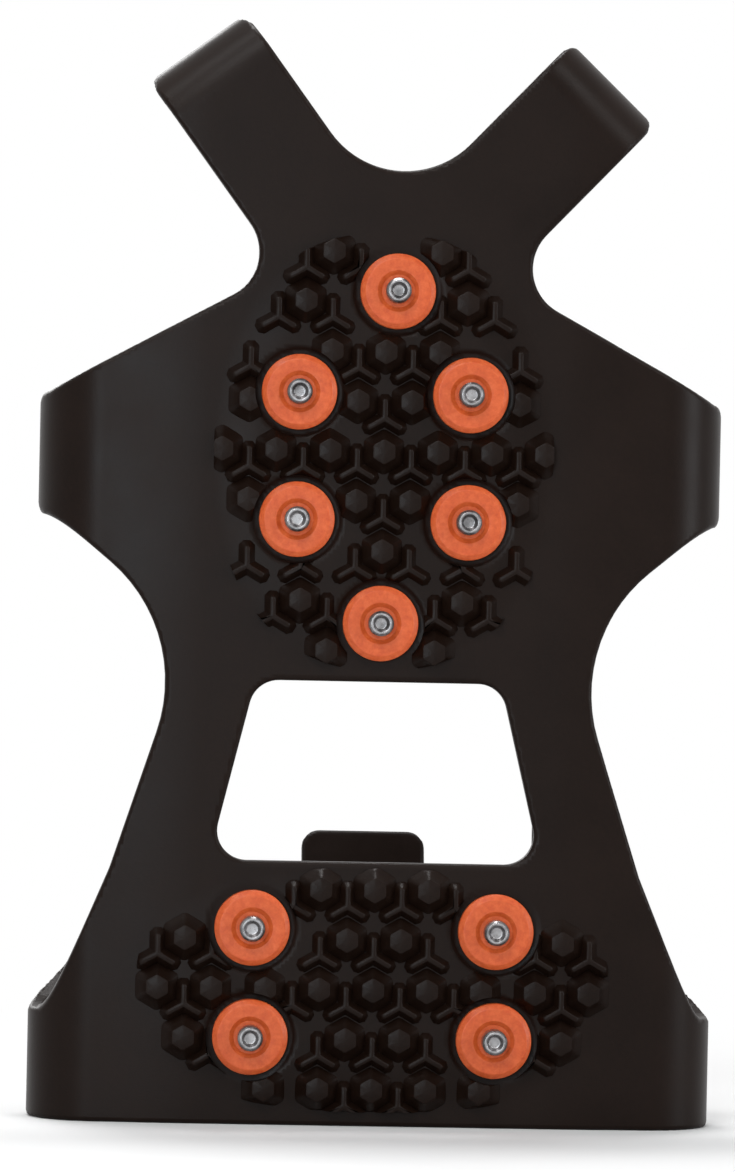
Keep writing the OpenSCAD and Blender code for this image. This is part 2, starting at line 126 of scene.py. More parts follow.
rim = {
    "y": 44,
    "halfWidth": 36,
    "bandWidth": 9,
    "bandThick": 4,
    "lean": math.radians(38),
    "heelRound": 20,
    "wingRound": 20,
    "wingZ": 128,
    "toeRound": 21,
    "rearZ": 28,
    "overlap": 4,  # how far the heel arms' edges run past its middle
    "fillet": 2.4,  # where arms and tab run into the band
}
tab = {
    "halfWidth": 12,
    "length": 27,
    "halfThick": 1.5,
    "lean": math.radians(28),
    "cornerRound": 3.5,
    "edgeRound": 0.8,
}
pad = {
    "height": 0.4,
    "ringGap": 1.2,
    "ringFlat": 0.5,  # share of that gap that stays low
    "fade": 9,  # width over which the pad runs out into the web
    "zones": {  # middle, half width, half height, roundness
        "forefoot": (125.2, 31.5, 40.6, 2.3),
        "heel": (25.4, 44, 22.6, 2.6),
    },
}
headSeat = {"gap": 0.2, "depth": 1.1}
skinMesh = {
    "cell": 0.72,  # spacing of its points
    "margin": 3,  # of the grid round the cleat
    "rounds": 2,  # of settling the points onto the true surface
    "stepLimit": 0.6,  # longest step in a round, in cells
    "slopeLimit": 0.1,
    "probe": 0.04,  # distance over which a slope is read
}
away = 90  # past every point of the cleat
cornerStep = 5  # degrees between the points of a round corner

studPlaces = []
for number in range(1, 11):
    low, high = nodeBox("stud_disc_%02d" % number)
    studPlaces.append(((low[0] + high[0]) / 2, (low[2] + high[2]) / 2))
discRound = (high[0] - low[0]) / 2
headLow, headHigh = nodeBox("stud_pin_01")
headRound = (headHigh[0] - headLow[0]) / 2
groundFace = -web["halfThick"]


def unit(v):
    return np.array(v) / np.hypot(*v)


def polar(r, a):
    return np.array((r * math.cos(a), r * math.sin(a)))


def crossing(p, d, q, e):  # of the line through p along d with the line through q along e
    k = d[0] * e[1] - d[1] * e[0]
    w = np.subtract(q, p)
    return np.array(p) + np.array(d) * (w[0] * e[1] - w[1] * e[0]) / k


def roundedCorner(a, b, c, r):
    u, v = unit(np.subtract(a, b)), unit(np.subtract(c, b))
    half = math.acos(float(u @ v)) / 2
    middle = np.array(b) + unit(u + v) * r / math.sin(half)
    p = np.array(b) + u * r / math.tan(half) - middle
    q = np.array(b) + v * r / math.tan(half) - middle
    start = math.atan2(p[1], p[0])
    turn = (math.atan2(q[1], q[0]) - start + math.pi) % (2 * math.pi) - math.pi
    steps = max(3, int(abs(turn) / math.radians(cornerStep)))
    return [middle + polar(r, start + turn * i / steps) for i in range(steps + 1)]


def outline(corners):  # corners as (x, z, radius)
    points = []
    for i, (x, z, r) in enumerate(corners):
        before, after = corners[i - 1][:2], corners[(i + 1) % len(corners)][:2]
        points += roundedCorner(before, (x, z), after, r) if r else [np.array((x, z))]
    return np.array(points)


def bezier(p, n=14):
    t = np.linspace(0, 1, n + 1)[:, None]
    p = np.array(p, float)
    return (1 - t) ** 3 * p[0] + 3 * (1 - t) ** 2 * t * p[1] + 3 * (1 - t) * t * t * p[2] + t**3 * p[3]


toeStart = toe["reach"] - toe["bend"] - web["halfThick"]


def sideCorners(lean):  # one side of the web, from the heel edge to its toe arm
    out = np.array((math.sin(lean), math.cos(lean)))
    across = np.array((math.cos(lean), -math.sin(lean))) * toe["width"] / 2
    root = np.array((0, toe["rootZ"]))
    slope = math.radians(web["wingSlope"])
    x = web["flatX"]
    notch = crossing((x, web["wingHigh"]), (-math.cos(slope), math.sin(slope)), root + across, out)
    far = root + out * (toeStart + 1)
    return [
        (x, 0, 0), (x, web["flankZ"], 0), (x - web["flankIn"], web["flankZ"] + web["flankUp"], 0),
        web["waist"], (x, web["wingLow"], 0), (x, web["wingHigh"], 0), (*notch, web["notchRound"]),
        (*(far + across), 0), (*(far - across), 0),
    ]


def webCorners():
    a, b = math.radians(toe["leanRight"]), math.radians(toe["leanLeft"])
    half = toe["width"] / 2
    valley = crossing(
        (-math.cos(a) * half, math.sin(a) * half), (math.sin(a), math.cos(a)),
        (math.cos(b) * half, math.sin(b) * half), (-math.sin(b), math.cos(b)),
    )
    left = [(-x, z, r) for x, z, r in reversed(sideCorners(b))]
    return sideCorners(a) + [(valley[0], valley[1] + toe["rootZ"], web["valleyRound"])] + left


def rimLoop():
    x, r = rim["halfWidth"], rim["heelRound"]
    heel = [np.array((x - r, rim["rearZ"] + r)) + polar(r, a) for a in np.radians(np.arange(-90, 1, 6))]
    wingMiddle = np.array((x - rim["wingRound"], rim["wingZ"]))
    toeMiddle = np.array((0, toe["rootZ"]))
    v = toeMiddle - wingMiddle
    touch = math.atan2(v[1], v[0]) - math.acos((rim["wingRound"] - rim["toeRound"]) / np.hypot(*v))
    wing = [wingMiddle + polar(rim["wingRound"], a) for a in np.linspace(0, touch, 8)]
    front = [toeMiddle + polar(rim["toeRound"], a) for a in np.linspace(touch, math.pi / 2, 14)]
    right = heel + wing + front
    left = [p * (-1, 1) for p in reversed(right[:-1])]
    return np.array(right + left), wing[-1], front[0]


webLoop, windowLoop = outline(webCorners()), outline(web["window"])
rimPath, linkStart, linkEnd = rimLoop()
linkWay = unit(linkEnd - linkStart)


# distances, negative inside the rubber

def loopDistance(loop, x, z):
    best = np.full(np.broadcast(x, z).shape, np.inf)
    inside = np.zeros(best.shape, bool)
    for (ax, az), (bx, bz) in zip(loop, np.roll(loop, -1, axis=0)):
        dx, dz = bx - ax, bz - az
        t = np.clip(((x - ax) * dx + (z - az) * dz) / (dx * dx + dz * dz), 0, 1)
        np.minimum(best, (x - ax - t * dx) ** 2 + (z - az - t * dz) ** 2, out=best)
        if dz:
            inside ^= ((az > z) != (bz > z)) & (x < (z - az) * dx / dz + ax)
    return np.where(inside, -1, 1) * np.sqrt(best)


def roundedPlate(flat, thick, r):  # a plate with round edges, from its two distances
    a, b = flat + r, thick + r
    return np.minimum(np.maximum(a, b), 0) + np.hypot(np.maximum(a, 0), np.maximum(b, 0)) - r


def softUnion(a, b, k):
    h = np.clip(0.5 + 0.5 * (b - a) / k, 0, 1)
    return b + (a - b) * h - k * h * (1 - h)


def smoothStep(t):
    t = np.clip(t, 0, 1)
    return t * t * (3 - 2 * t)


def bowAt(x):
    return web["bow"] * smoothStep((np.abs(x) - web["bowFrom"]) / (web["bowTo"] - web["bowFrom"]))


def stripThick(u, y, r, target):  # a strip that leaves the web along u, bends round r and runs to the target
    v = np.subtract(target, (0, r))
    run = math.sqrt(v @ v - r * r)
    turn = math.atan2(v[1], v[0]) - math.atan2(run, r) + math.pi / 2
    angle = np.arctan2(u, r - y)
    endU, endY = r * math.sin(turn), r - r * math.cos(turn)
    along = (u - endU) * math.cos(turn) + (y - endY) * math.sin(turn)
    off = (u - endU) * math.sin(turn) - (y - endY) * math.cos(turn)
    flat = np.maximum(np.abs(y), web["halfThick"] - web["lap"] - u)
    bent = np.abs(np.hypot(u, y - r) - r)
    straight = np.maximum(np.abs(off), along - run + web["halfThick"])
    onArc = (angle >= 0) & (angle <= turn)
    thick = np.where(onArc, bent, np.where((angle < 0) & (y < r), flat, straight))
    return thick - web["halfThick"]


def tipEdge(u, edge, sign):  # the rounded corner at the end of an arm
    r = toe["cornerRound"]
    a = np.radians(np.arange(0, toe["cornerTurn"] + 1, 15))
    return np.column_stack((u - r * (1 - np.sin(a)), edge - sign * r * (1 - np.cos(a))))


tipDrop = toe["cornerRound"] * (1 - math.cos(math.radians(toe["cornerTurn"])))


def wingEdges():  # heights of its two edges, in the front view and then in the side view
    low, high, y, b = sides["wingEndLow"], sides["wingEndHigh"], rim["y"], sides["bend"]
    outer = b + web["halfThick"]
    tip = outer - toe["cornerRound"]
    start, top = web["wingLow"], web["wingHigh"]
    rise = (start - web["waist"][1]) / (web["flatX"] - web["waist"][0])
    shoulder = math.tan(math.radians(web["wingSlope"]))
    sweep = bezier([
        (-1, start - rise), (tip / 3, start + rise * tip / 3),
        (tip * 2 / 3, low - rise * tip / 6), (tip, low),
    ])
    frontLow = [(-away, start - away * rise), *sweep, *tipEdge(outer, low, -1)[1:]]
    frontHigh = [(-away, top + away * shoulder), (0, top), *tipEdge(outer, high, 1)]
    lowFlare = [(y + d, low + h) for d, h in sides["wingLowFlare"]]
    highFlare = [(y + d, high + h) for d, h in sides["wingHighFlare"]]
    clearY, clearZ = sides["wingClear"]
    sideLow = [(clearY, low - clearZ), *bezier([(b, low + tipDrop), *lowFlare])]
    sideHigh = [(clearY, high + clearZ), *bezier([(b, high - tipDrop), *highFlare])]
    return [np.array(e).T for e in (frontLow, frontHigh, sideLow, sideHigh)]


def heelEdges():  # the flank in the front view, then the arm's two edges in the side view
    b, h, y = sides["bend"], sides["heelHeight"], rim["y"]
    inner, end = b - web["halfThick"], y + rim["overlap"]
    leadX, leadZ = sides["heelLead"]
    flank = bezier([(0, web["flankZ"]), *[(inner + d, h + up) for d, up in sides["heelFlank"]]])
    flank = [(leadX, web["flankZ"] + leadZ), *flank]
    foot = sides["heelFoot"]
    low, high = sides["heelArm"]
    lowEase, highEase = sides["heelEase"]
    lower = bezier([(foot, 0), (foot + 2 * b / 3, 0), (y - lowEase, low / 2), (end, low)])
    upper = bezier([(b, h), (2 * b, h), (y - highEase, high * 2 / 3), (end, high)])
    return [np.array(e).T for e in (flank, lower, upper)]


wingFrontLow, wingFrontHigh, wingSideLow, wingSideHigh = wingEdges()
heelFlank, heelLower, heelUpper = heelEdges()
armTarget = (rim["halfWidth"] - web["flatX"], rim["y"])


def wingDistance(x, y, z):
    u = x - web["flatX"]
    low = np.maximum(np.interp(u, *wingFrontLow), np.interp(y, *wingSideLow))
    high = np.minimum(np.interp(u, *wingFrontHigh), np.interp(y, *wingSideHigh))
    flat = sides["wingSlant"] * np.maximum(low - z, z - high)
    return roundedPlate(flat, stripThick(u, y, sides["bend"], armTarget), web["edgeRound"])


def heelDistance(x, y, z):
    u = x - web["flatX"]
    low = np.interp(y, *heelLower)
    high = np.where(y < sides["bend"], np.interp(u, *heelFlank), np.interp(y, *heelUpper))
    lowSlant, highSlant = sides["heelSlant"]
    below = np.where(y < sides["heelFoot"], 1, lowSlant) * (low - z)
    flat = np.maximum(highSlant * (z - high), below)
    return roundedPlate(flat, stripThick(u, y, sides["bend"], armTarget), web["edgeRound"])


def toeDistance(x, y, z, lean):
    s = x * math.sin(lean) + (z - toe["rootZ"]) * math.cos(lean)
    t = x * math.cos(lean) - (z - toe["rootZ"]) * math.sin(lean)
    half = toe["width"] / 2
    u = s - toeStart
    front = tipEdge(toe["bend"] + web["halfThick"], half, 1).T
    flare = bezier([(rim["y"] + d, half - toe["taper"] + wide) for d, wide in toe["flare"]])
    side = np.array([(toe["taperFrom"], half + toe["spare"]), (toe["bend"], half - tipDrop), *flare]).T
    flat = np.abs(t) - np.minimum(np.interp(u, *front), np.interp(y, *side))
    thick = stripThick(u, y, toe["bend"], (rim["toeRound"] - toeStart, rim["y"]))
    return roundedPlate(flat, thick, web["edgeRound"])


def rimDistance(x, y, z):
    a, b = loopDistance(rimPath, x, z), y - rim["y"]
    c, s = math.cos(rim["lean"]), math.sin(rim["lean"])
    over = np.maximum(np.abs(b * c - a * s) - (rim["bandWidth"] - rim["bandThick"]) / 2, 0)
    return np.hypot(a * c + b * s, over) - rim["bandThick"] / 2


def alongTab(y, z):
    return (y - rim["y"]) * math.sin(tab["lean"]) + (z - rim["rearZ"]) * math.cos(tab["lean"])


def tabDistance(x, y, z):
    along = alongTab(y, z)
    off = (y - rim["y"]) * math.cos(tab["lean"]) - (z - rim["rearZ"]) * math.sin(tab["lean"])
    r = tab["cornerRound"]
    a, b = np.abs(x) - tab["halfWidth"] + r, along - tab["length"] + r
    flat = np.hypot(np.maximum(a, 0), np.maximum(b, 0)) + np.minimum(np.maximum(a, b), 0) - r
    return roundedPlate(np.maximum(flat, -along), np.abs(off) - tab["halfThick"], tab["edgeRound"])


def zoneShare(zone, x, z):  # 1 on the round outline of a tread zone, less inside it
    middle, w, h, n = zone
    return (np.abs(x) / w) ** n + (np.abs(z - middle) / h) ** n


def zoneDistance(zone, x, z):  # near enough for a low step
    _, w, h, n = zone
    return (np.maximum(zoneShare(zone, x, z), tiny) ** (1 / n) - 1) * min(w, h)


def studGapAt(x, z):  # distance to the middle of the nearest stud
    return np.minimum.reduce([np.hypot(x - sx, z - sz) for sx, sz in studPlaces])


def skinDistance(x, y, z):
    y = y - bowAt(x)
    wide = np.abs(x)
    studGap = studGapAt(x, z)
    flat = np.maximum(loopDistance(webLoop, x, z), -loopDistance(windowLoop, x, z))
    raised = np.minimum.reduce([zoneDistance(zone, x, z) for zone in pad["zones"].values()])
    lift = pad["height"] * smoothStep(-raised / pad["fade"])
    lift = lift * smoothStep((studGap - discRound) / pad["ringGap"] - pad["ringFlat"])
    skin = roundedPlate(flat, np.maximum(-y - lift, y) - web["halfThick"], web["edgeRound"])
    skin = np.minimum(skin, wingDistance(wide, y, z))
    skin = np.minimum(skin, heelDistance(wide, y, z))
    skin = np.minimum(skin, toeDistance(x, y, z, math.radians(toe["leanRight"])))
    skin = np.minimum(skin, toeDistance(-x, y, z, math.radians(toe["leanLeft"])))
    band = softUnion(rimDistance(x, y, z), tabDistance(x, y, z), rim["fillet"])
    skin = softUnion(skin, band, rim["fillet"])
    seat = np.maximum(studGap - headRound - headSeat["gap"], web["halfThick"] - headSeat["depth"] - y)
    return np.maximum(skin, -seat)


def surfaceNet(values):  # one point in each cell that the surface passes through, joined by quads
    inside = values < 0
    n = np.array(values.shape)
    step = np.eye(3, dtype=int)
    corners = [np.array(c) for c in np.ndindex(2, 2, 2)]
    count = np.zeros(n - 1, np.uint8)
    for c in corners:
        count += inside[tuple(slice(c[i], n[i] - 1 + c[i]) for i in range(3))]
    active = (count > 0) & (count < 8)
    cells = np.argwhere(active)
    index = np.full(active.shape, -1, np.int32)
    index[active] = np.arange(len(cells))
    total, hits = np.zeros((len(cells), 3)), np.zeros((len(cells), 1))
    for a in corners:
        for axis in range(3):
            if a[axis]:
                continue
            b = a + step[axis]
            va, vb = values[tuple((cells + a).T)], values[tuple((cells + b).T)]
            cross = (va < 0) != (vb < 0)
            t = np.where(cross, va / np.where(cross, va - vb, 1), 0)[:, None]
            total += np.where(cross[:, None], a + t * (b - a), 0)
            hits += cross[:, None]
    quads = []
    for axis in range(3):
        sideA, sideB = step[(axis + 1) % 3], step[(axis + 2) % 3]
        lower = inside[tuple(slice(0, n[i] - (i == axis)) for i in range(3))]
        upper = inside[tuple(slice(int(i == axis), n[i]) for i in range(3))]
        edges = np.argwhere(lower != upper)
        quad = np.stack([index[tuple((edges - k).T)] for k in (0, sideA, sideA + sideB, sideB)], 1)
        solidBelow = lower[tuple(edges.T)]
        quads.append(np.where(solidBelow[:, None], quad, quad[:, ::-1]))
    return cells + total / hits, np.concatenate(quads)


def skinGradient(p):
    gap = skinMesh["probe"]
    way = []
    for axis in range(3):
        d = np.zeros(3)
        d[axis] = gap
        way.append(skinDistance(*(p + d).T) - skinDistance(*(p - d).T))
    return np.array(way).T / (2 * gap)


def makeSkin():
    cell, margin = skinMesh["cell"], skinMesh["margin"]
    low, high = np.array(cadBox[0]) / mm - margin, np.array(cadBox[1]) / mm + margin
    axes = [np.arange(low[i], high[i], cell) for i in range(3)]
    grid = np.meshgrid(*axes, indexing="ij", sparse=True)
    points, quads = surfaceNet(skinDistance(*grid).astype(np.float32))
    points = low + points * cell
    for _ in range(skinMesh["rounds"]):
        way = skinGradient(points)
        steep = np.maximum((way * way).sum(1), skinMesh["slopeLimit"])
        shift = way * (skinDistance(*points.T) / steep)[:, None]
        reach = np.linalg.norm(shift, axis=1, keepdims=True)
        points -= shift * np.minimum(1, skinMesh["stepLimit"] * cell / np.maximum(reach, tiny))
    normals = skinGradient(points)
    return points, quads, normals / np.maximum(np.linalg.norm(normals, axis=1, keepdims=True), tiny)


def addObject(name, data):
    made = bpy.data.objects.new(name, data)
    bpy.context.scene.collection.objects.link(made)
    return made


def newPiece(name, points, faces):  # points in millimetres
    mesh = bpy.data.meshes.new(name)
    mesh.from_pydata(np.asarray(points) * mm, [], faces)
    mesh.update()
    mesh.shade_smooth()
    return addObject(name, mesh)


# finishes

def newMaterial(name):
    made = bpy.data.materials.new(name)
    made.use_nodes = True
    nodes = made.node_tree.nodes
    return made, nodes, made.node_tree.links, nodes["Principled BSDF"]


def addNoise(nodes, links, scale, detail, roughness):
    place = nodes.get("place") or nodes.new("ShaderNodeTexCoord")
    place.name = "place"
    noise = nodes.new("ShaderNodeTexNoise")
    noise.inputs["Scale"].default_value = scale
    noise.inputs["Detail"].default_value = detail
    noise.inputs["Roughness"].default_value = roughness
    links.new(place.outputs["Object"], noise.inputs["Vector"])
    return noise.outputs["Fac"]


def addMath(nodes, links, operation, *values):  # values are numbers or other nodes' outputs
    made = nodes.new("ShaderNodeMath")
    made.operation = operation
    for socket, value in zip(made.inputs, values):
        if isinstance(value, (int, float)):
            socket.default_value = value
        else:
            links.new(value, socket)
    return made.outputs[0]


def addMix(nodes, links, share, first, second):
    mix = nodes.new("ShaderNodeMixShader")
    for socket, source in zip(mix.inputs, (share, first, second)):
        links.new(source, socket)
    return mix.outputs[0]


def addColour(nodes, links, shader, source, stops):  # stops as (position, colour), the two ends first
    ramp = nodes.new("ShaderNodeValToRGB")
    for i, (at, colour) in enumerate(stops):
        stop = ramp.color_ramp.elements[i] if i < 2 else ramp.color_ramp.elements.new(at)
        stop.position = at
        stop.color = (*colour, 1)
    links.new(source, ramp.inputs["Fac"])
    links.new(ramp.outputs["Color"], shader.inputs["Base Color"])


noiseSpan = (0.3, 0.7)  # most of a noise's values lie in it


def addRoughness(nodes, links, shader, source, limits):
    spread = nodes.new("ShaderNodeMapRange")
    for end, at, value in zip(("Min", "Max"), noiseSpan, limits):
        spread.inputs["From " + end].default_value = at
        spread.inputs["To " + end].default_value = value
    links.new(source, spread.inputs["Value"])
    links.new(spread.outputs["Result"], shader.inputs["Roughness"])


def addBump(nodes, links, shader, depth, *sources):  # depth in metres
    before = None
    for source in sources:
        bump = nodes.new("ShaderNodeBump")
        bump.inputs["Strength"].default_value = 1
        bump.inputs["Distance"].default_value = depth
        links.new(source, bump.inputs["Height"])
        if before:
            links.new(before.outputs["Normal"], bump.inputs["Normal"])
        before = bump
    links.new(before.outputs["Normal"], shader.inputs["Normal"])


rubberLook = {
    "colours": ((0.32, (0.0055, 0.0024, 0.0014)), (0.68, (0.0093, 0.0044, 0.0027))),
    "roughness": (0.33, 0.41),
    "specular": 0.105,
    "fine": (1400, 4, 0.6),  # noises as scale, detail, roughness
    "cloud": (55, 3, 0.55),
    "grain": (3200, 2, 0.55),
    "share": 0.5,  # of the fine noise and of the cloud in the colour
    "depth": 0.000012,
}


def rubberMaterial(name, look):
    made, nodes, links, shader = newMaterial(name)
    fine = addNoise(nodes, links, *look["fine"])
    cloud = addNoise(nodes, links, *look["cloud"])
    grain = addNoise(nodes, links, *look["grain"])
    part = addMath(nodes, links, "MULTIPLY", cloud, look["share"])
    mixed = addMath(nodes, links, "MULTIPLY_ADD", fine, look["share"], part)
    addColour(nodes, links, shader, mixed, look["colours"])
    addRoughness(nodes, links, shader, cloud, look["roughness"])
    shader.inputs["Specular IOR Level"].default_value = look["specular"]
    addBump(nodes, links, shader, look["depth"], grain, fine)
    return made


discLook = {
    "colours": ((0.3, (0.47, 0.06, 0.011)), (0.72, (0.63, 0.12, 0.032)), (0.5, (0.55, 0.086, 0.017))),
    "roughness": (0.36, 0.5),
    "specular": 0.35,
    "speck": (1100, 5, 0.65),
    "cloud": (160, 2, 0.55),
    "glowWeight": 0.08,  # light that goes a little way into the plastic
    "glowRadius": (0.001, 0.0004, 0.0002),
    "glowScale": 0.5,
    "depth": 0.00002,
}


def discMaterial(look):
    made, nodes, links, shader = newMaterial("orange moulded plastic")
    speck = addNoise(nodes, links, *look["speck"])
    cloud = addNoise(nodes, links, *look["cloud"])
    addColour(nodes, links, shader, speck, look["colours"])
    addRoughness(nodes, links, shader, cloud, look["roughness"])
    shader.inputs["Specular IOR Level"].default_value = look["specular"]
    shader.inputs["Subsurface Weight"].default_value = look["glowWeight"]
    shader.inputs["Subsurface Radius"].default_value = look["glowRadius"]
    shader.inputs["Subsurface Scale"].default_value = look["glowScale"]
    addBump(nodes, links, shader, look["depth"], speck)
    return made


steelLook = {
    "colours": ((0.3, (0.14, 0.136, 0.138)), (0.62, (0.33, 0.32, 0.325))),
    "roughness": (0.22, 0.38),
    "scratch": (1500, 6, 0.7),
    "stain": (420, 3, 0.55),
    "depth": 0.00001,
}


def steelMaterial(look):
    made, nodes, links, shader = newMaterial("stud steel")
    scratch = addNoise(nodes, links, *look["scratch"])
    stain = addNoise(nodes, links, *look["stain"])
    addColour(nodes, links, shader, stain, look["colours"])
    addRoughness(nodes, links, shader, scratch, look["roughness"])
    shader.inputs["Metallic"].default_value = 1
    addBump(nodes, links, shader, look["depth"], scratch)
    return made


rubber = rubberMaterial("black moulded rubber", rubberLook)
lugRubber = rubberMaterial("black tread rubber", {**rubberLook, "depth": 0.00002})
orange = discMaterial(discLook)
steel = steelMaterial(steelLook)
print("finishes made")


# split the skin where the straps stretch

seams = {
    "toeArm": (8, 38),  # depth
    "heelArm": (24, 38),
    "rearLink": (103.4, 69),  # height
    "frontLink": float((linkEnd - linkStart) @ linkWay) - 8,  # length along the rim, from the wing
    "inset": 1.1,  # the ends of what stretches would follow their neighbours over this length
    "toeAbove": 145,  # heights that part toe, wing and heel
    "frontAbove": 125,
    "heelBelow": 75,
    "tabBelow": 60,
    "tabHalfWidth": 16,
    "tabFrom": 5.5,  # length along the tab
}


def skinZones(middle):
    x, y, z = middle.T
    along = (np.abs(x) - linkStart[0]) * linkWay[0] + (z - linkStart[1]) * linkWay[1]
    onRim = y > seams["toeArm"][1]
    onFront = onRim & (z > seams["frontAbove"])
    onTab = (np.abs(x) < seams["tabHalfWidth"]) & (alongTab(y, z) > seams["tabFrom"])
    zone = np.full(len(middle), "sole_skin", object)
    zone[onFront & (along > seams["frontLink"])] = "toe_band_skin"
    zone[onRim & (z <= seams["rearLink"][1])] = "heel_band_skin"
    zone[onRim & (z < seams["tabBelow"]) & onTab] = "pull_tab_skin"
    stretching = {
        "toe_arm": (y > seams["toeArm"][0]) & ~onRim & (z > seams["toeAbove"]),
        "heel_arm": (y > seams["heelArm"][0]) & ~onRim & (z < seams["heelBelow"]),
        "front_link": onFront & (along > 0) & (along <= seams["frontLink"]),
        "rear_link": onRim & (z > seams["rearLink"][1]) & (z < seams["rearLink"][0]),
    }
    for name, where in stretching.items():
        zone[where & (x < 0)] = name + "_left_skin"
        zone[where & (x >= 0)] = name + "_right_skin"
    return zone


skinPieces = {
    "sole_skin": [
        "sole", "wing_left", "wing_right", "toe_hook_left", "toe_hook_right",
        "heel_corner_left", "heel_corner_right",
    ],
    "toe_band_skin": ["toe_band"],
    "heel_band_skin": ["heel_band"],
    "pull_tab_skin": ["heel_pull_tab"],
}
for side in ("left", "right"):
    skinPieces["toe_arm_%s_skin" % side] = ["toe_arm_" + side]
    skinPieces["heel_arm_%s_skin" % side] = ["heel_arm_" + side]
    skinPieces["front_link_%s_skin" % side] = ["rim_front_" + side]
    skinPieces["rear_link_%s_skin" % side] = ["rim_rear_" + side]
carriedBy = {"toe_band_skin": "toe_strap", "heel_band_skin": "heel_strap", "pull_tab_skin": "heel_strap"}


def stretchSkin(piece, name):  # what a zone follows
    if name.startswith("toe_arm"):
        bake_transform(piece)
    elif name.startswith("heel_arm"):
        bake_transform(piece)
    elif name.startswith("rear_link"):
        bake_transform(piece)
    elif name.startswith("front_link"):
        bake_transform(piece)
    else:
        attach(piece, carriedBy.get(name, "sole_body"))


points, quads, normals = makeSkin()
zoneOf = skinZones(points[quads].mean(1))
for name, stoodFor in skinPieces.items():
    faces = quads[zoneOf == name]
    used, faces = np.unique(faces, return_inverse=True)
    piece = newPiece(name, points[used], faces.reshape(-1, 4).tolist())
    piece.data.normals_split_custom_set_from_vertices(normals[used])
    piece.data.materials.append(rubber)
    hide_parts(*stoodFor)
    stretchSkin(piece, name)
print("rubber skin: %d points, %d faces" % (len(points), len(quads)))


# tread lugs and ribs

lug = {
    "pitch": 10,
    "rowStep": 9.25,
    "footWidth": 6.8,
    "topWidth": 4.2,
    "height": 2.2,
    "footRings": ((1.2, -0.25), (0.6, 0.1), (-0.1, 0.45)),  # fillet: added width, height over the pad
    "topRings": ((0.1, -0.32), (-0.12, -0.09), (-0.64, 0)),  # bevel: added width, height over the top
    "cornerShare": 0.16,  # how much of a hexagon's side its round corners take
    "perSide": 5,
    "zoneLimit": 0.95,  # how near the zone's outline its middle may lie, which is at 1
    "studRoom": 0.6,  # from its middle to a stud's ring
    "sharpAngle": 42,
}
rib = {
    "footWidth": 3.1,
    "ridgeWidth": 0.9,
    "length": 3.4,
    "height": 1.6,
    "footRings": ((0, 0.5, -0.25), (-0.6, 0.35, 0.2)),  # added width, added length, height over the pad
    "topRings": ((0.25, 0, -0.3), (0, -0.1, -0.08), (-0.3, -0.25, 0)),
    "armFrom": 0.35,  # share of its length at which an arm's straight sides start
    "endReach": 0.55,  # the blunt end of an arm, in half widths
    "endWidth": 0.45,
    "zoneLimit": 0.9,
    "studRoom": -0.5,
}
ringRoom = discRound + pad["ringGap"]


def hexagon(width):  # round-cornered, one corner towards the toe
    r = width / math.sqrt(3)
    corners = [polar(r, math.radians(90 + 60 * i)) for i in range(6)]
    points = []
    for i in range(6):
        before, here, after = corners[i - 1], corners[i], corners[(i + 1) % 6]
        a, b = here + (before - here) * lug["cornerShare"], here + (after - here) * lug["cornerShare"]
        for t in np.linspace(0, 1, 4):
            points.append((1 - t) ** 2 * a + 2 * t * (1 - t) * here + t * t * b)
        for t in np.arange(1, lug["perSide"]) / lug["perSide"]:
            points.append(b + (after + (here - after) * lug["cornerShare"] - b) * t)
    return np.array(points)


def threeArms(width, length):
    w = width / 2
    points = []
    for a in np.radians((90, 210, 330)):
        tip = polar(length, a)
        across = polar(w, a - math.pi / 2)
        end = tip + polar(w * rib["endReach"], a)
        points.append(polar(w / math.sqrt(3) * 2, a - math.pi / 3))
        for t in np.linspace(rib["armFrom"], 1, 4):
            points.append(tip * t + across)
        points.append(end + across * rib["endWidth"])
        points.append(end - across * rib["endWidth"])
        for t in np.linspace(1, rib["armFrom"], 4):
            points.append(tip * t - across)
    return np.array(points)


def keepInZone(ring, zone):  # points that reach past the zone or into a stud's ring move to its edge
    ring = ring.copy()
    middle, _, _, n = zone
    over = np.maximum(zoneShare(zone, *ring.T) ** (1 / n), 1)
    ring[:, 0] /= over
    ring[:, 1] = middle + (ring[:, 1] - middle) / over
    for place in studPlaces:
        d = ring - place
        far = np.hypot(*d.T)
        ring += d * np.maximum(ringRoom / np.maximum(far, tiny) - 1, 0)[:, None]
    return ring


def ringFaces(rings, n):  # quads between rings of n points
    faces = []
    for k in range(rings - 1):
        for i in range(n):
            a, b = k * n + i, k * n + (i + 1) % n
            faces.append((a, a + n, b + n, b))
    return faces


def stack(rings, heights):  # a small block from rings at heights above the web's ground face
    n = len(rings[0])
    points = []
    for ring, height in zip(rings, heights):
        points += [(x, groundFace - height + bowAt(x), z) for x, z in ring]
    x, z = rings[-1].mean(0)
    points.append((x, groundFace - heights[-1] + bowAt(x), z))
    last = (len(rings) - 1) * n
    cap = [(last + i, len(points) - 1, last + (i + 1) % n) for i in range(n)]
    return points, ringFaces(len(rings), n) + cap


lugTop, ribTop = pad["height"] + lug["height"], pad["height"] + rib["height"]
lugRings = [(lug["footWidth"] + w, pad["height"] + h) for w, h in lug["footRings"]]
lugRings += [(lug["topWidth"] + w, lugTop + h) for w, h in lug["topRings"]]
ribRings = [(rib["footWidth"] + w, rib["length"] + d, pad["height"] + h) for w, d, h in rib["footRings"]]
ribRings += [(rib["ridgeWidth"] + w, rib["length"] + d, ribTop + h) for w, d, h in rib["topRings"]]


